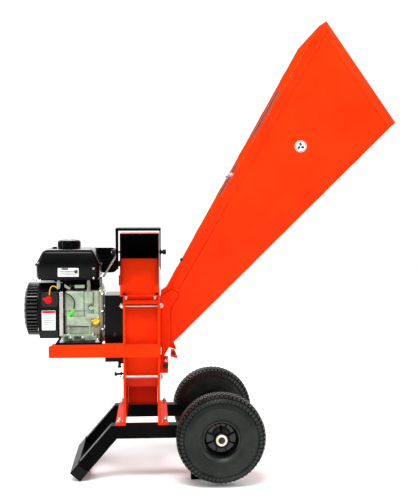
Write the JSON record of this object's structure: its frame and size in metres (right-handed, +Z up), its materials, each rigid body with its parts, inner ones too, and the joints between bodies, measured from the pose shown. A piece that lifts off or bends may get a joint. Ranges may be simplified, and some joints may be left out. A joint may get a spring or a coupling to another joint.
{
  "type": "wood chipper",
  "caption": "Portable petrol wood chipper: tall tapered feed hopper, disc rotor housing with discharge chute and deflector, belt-driven by a small engine on a wheeled tube frame.",
  "frame": {"origin": "middle of the machine's footprint box, on the ground", "axes": "+Z up; +X from the engine towards the hopper's mouth; the discharge chute throws towards -Y"},
  "size_m": [1.1347, 0.5075, 1.3917],
  "materials": {
    "orange_paint": "semi-gloss powder coat",
    "black_paint": "satin powder coat",
    "tyre_rubber": "matte, block tread",
    "black_plastic": "fine-grained moulding",
    "plated_steel": "zinc plated",
    "tool_steel": "ground",
    "bearing_casting": "as cast",
    "aluminium_casting": "die cast, satin",
    "red_plastic": "glossy",
    "yellow_plastic": "glossy",
    "white_label": "plain printed film, no lettering",
    "hub_bushing": "moulded",
    "flap_rubber": "matte"
  },
  "bodies": {
    "root": {"near_frame_rail": "black_paint", "far_frame_rail": "black_paint", "near_leg": "black_paint", "far_leg": "black_paint", "near_rear_foot": "black_paint", "far_rear_foot": "black_paint", "leg_crossbar": "black_paint", "rear_cross_tube": "black_paint", "axle": "plated_steel", "left_housing_plate": "orange_paint", "right_housing_plate": "orange_paint", "near_wrapper": "orange_paint", "far_wrapper": "orange_paint", "near_lower_tie_rod": "plated_steel", "near_upper_tie_rod": "plated_steel", "far_upper_tie_rod": "plated_steel", "left_bearing": "bearing_casting", "right_bearing": "bearing_casting", "anvil_knife": "tool_steel", "drive_belt": "flap_rubber", "belt_guard": "black_paint", "hopper_hinge_pin": "plated_steel", "discharge_chute": "orange_paint", "near_deck_rail": "orange_paint", "far_deck_rail": "orange_paint", "engine_mount_plate": "black_paint", "crankcase": "aluminium_casting", "cylinder_head": "aluminium_casting", "fan_shroud": "black_plastic", "recoil_cover": "black_plastic", "fuel_tank": "black_plastic", "air_cleaner": "black_plastic", "muffler": "black_paint", "carburettor": "aluminium_casting"},
    "hopper": {"near_hopper_panel": "orange_paint", "far_hopper_panel": "orange_paint", "top_hopper_panel": "orange_paint", "bottom_hopper_panel": "orange_paint", "throat_flange": "orange_paint"},
    "flap": {"feed_flap": "flap_rubber"},
    "rotor": {"rotor_disc": "tool_steel", "first_chipper_knife": "tool_steel", "second_chipper_knife": "tool_steel", "rotor_shaft": "tool_steel", "rotor_pulley": "tool_steel"},
    "crank": {"crankshaft": "tool_steel", "engine_pulley": "tool_steel"},
    "near_wheel": {"near_tyre": "tyre_rubber", "near_rim": "black_plastic"},
    "far_wheel": {"far_tyre": "tyre_rubber", "far_rim": "black_plastic"},
    "hood": {"deflector_hood": "black_paint"},
    "left_knob": {"left_deflector_knob": "black_plastic"},
    "right_knob": {"right_deflector_knob": "black_plastic"},
    "starter_grip": {"recoil_handle": "black_plastic"},
    "switch_knob": {"stop_switch": "red_plastic"},
    "tank_cap": {"fuel_cap": "black_plastic"},
    "oil_filler_cap": {"oil_cap": "yellow_plastic"},
    "throttle": {"throttle_lever": "black_plastic"},
    "choke": {"choke_lever": "black_plastic"}
  },
  "joints": [
    {"name": "near_wheel_spin", "type": "hinge", "parent": "root", "child": "near_wheel", "pos_m": [0.0386, -0.2105, 0.144], "axis": [0, 1, 0], "continuous": true},
    {"name": "far_wheel_spin", "type": "hinge", "parent": "root", "child": "far_wheel", "pos_m": [0.0386, 0.2105, 0.144], "axis": [0, 1, 0], "continuous": true},
    {"name": "rotor_spin", "type": "hinge", "parent": "root", "child": "rotor", "pos_m": [-0.199, 0, 0.412], "axis": [1, 0, 0], "continuous": true},
    {"name": "crank_spin", "type": "hinge", "parent": "root", "child": "crank", "pos_m": [-0.29, 0, 0.514], "axis": [1, 0, 0], "continuous": true},
    {"name": "deflector_tilt", "type": "hinge", "parent": "root", "child": "hood", "pos_m": [-0.2063, -0.135, 0.7], "axis": [1, 0, 0], "range_deg": [-20, 45]},
    {"name": "left_knob_turn", "type": "hinge", "parent": "root", "child": "left_knob", "pos_m": [-0.2718, -0.135, 0.7], "axis": [-1, 0, 0], "range_deg": [0, 360]},
    {"name": "right_knob_turn", "type": "hinge", "parent": "root", "child": "right_knob", "pos_m": [-0.1408, -0.135, 0.7], "axis": [1, 0, 0], "range_deg": [0, 360]},
    {"name": "hopper_tilt", "type": "hinge", "parent": "root", "child": "hopper", "pos_m": [-0.125, 0, 0.338], "axis": [0, 1, 0], "range_deg": [0, 40]},
    {"name": "flap_swing", "type": "hinge", "parent": "hopper", "child": "flap", "pos_m": [0.092, 0, 0.905], "axis": [0, 1, 0], "range_deg": [-24, 32]},
    {"name": "recoil_pull", "type": "slide", "parent": "root", "child": "starter_grip", "axis": [0, 0.9397, 0.342], "range_m": [0, 0.6], "stiffness_N_per_m": 12, "springref_m": -0.4},
    {"name": "stop_switch_turn", "type": "hinge", "parent": "root", "child": "switch_knob", "pos_m": [-0.484, -0.1048, 0.552], "axis": [0, -1, 0], "range_deg": [0, 90]},
    {"name": "fuel_cap_turn", "type": "hinge", "parent": "root", "child": "tank_cap", "pos_m": [-0.427, -0.03, 0.7079], "axis": [0, 0, 1], "range_deg": [0, 90]},
    {"name": "oil_cap_turn", "type": "hinge", "parent": "root", "child": "oil_filler_cap", "pos_m": [-0.341, -0.1012, 0.484], "axis": [0, -0.8189, 0.5739], "range_deg": [0, 360]},
    {"name": "throttle_swing", "type": "hinge", "parent": "root", "child": "throttle", "pos_m": [-0.428, 0.205, 0.56], "axis": [1, 0, 0], "range_deg": [-30, 20]},
    {"name": "choke_swing", "type": "hinge", "parent": "root", "child": "choke", "pos_m": [-0.42, 0.205, 0.56], "axis": [1, 0, 0], "range_deg": [-30, 20]}
  ],
  "couplings": [
    {"joint": "crank_spin", "follows": "rotor_spin", "ratio": 1.1765}
  ]
}
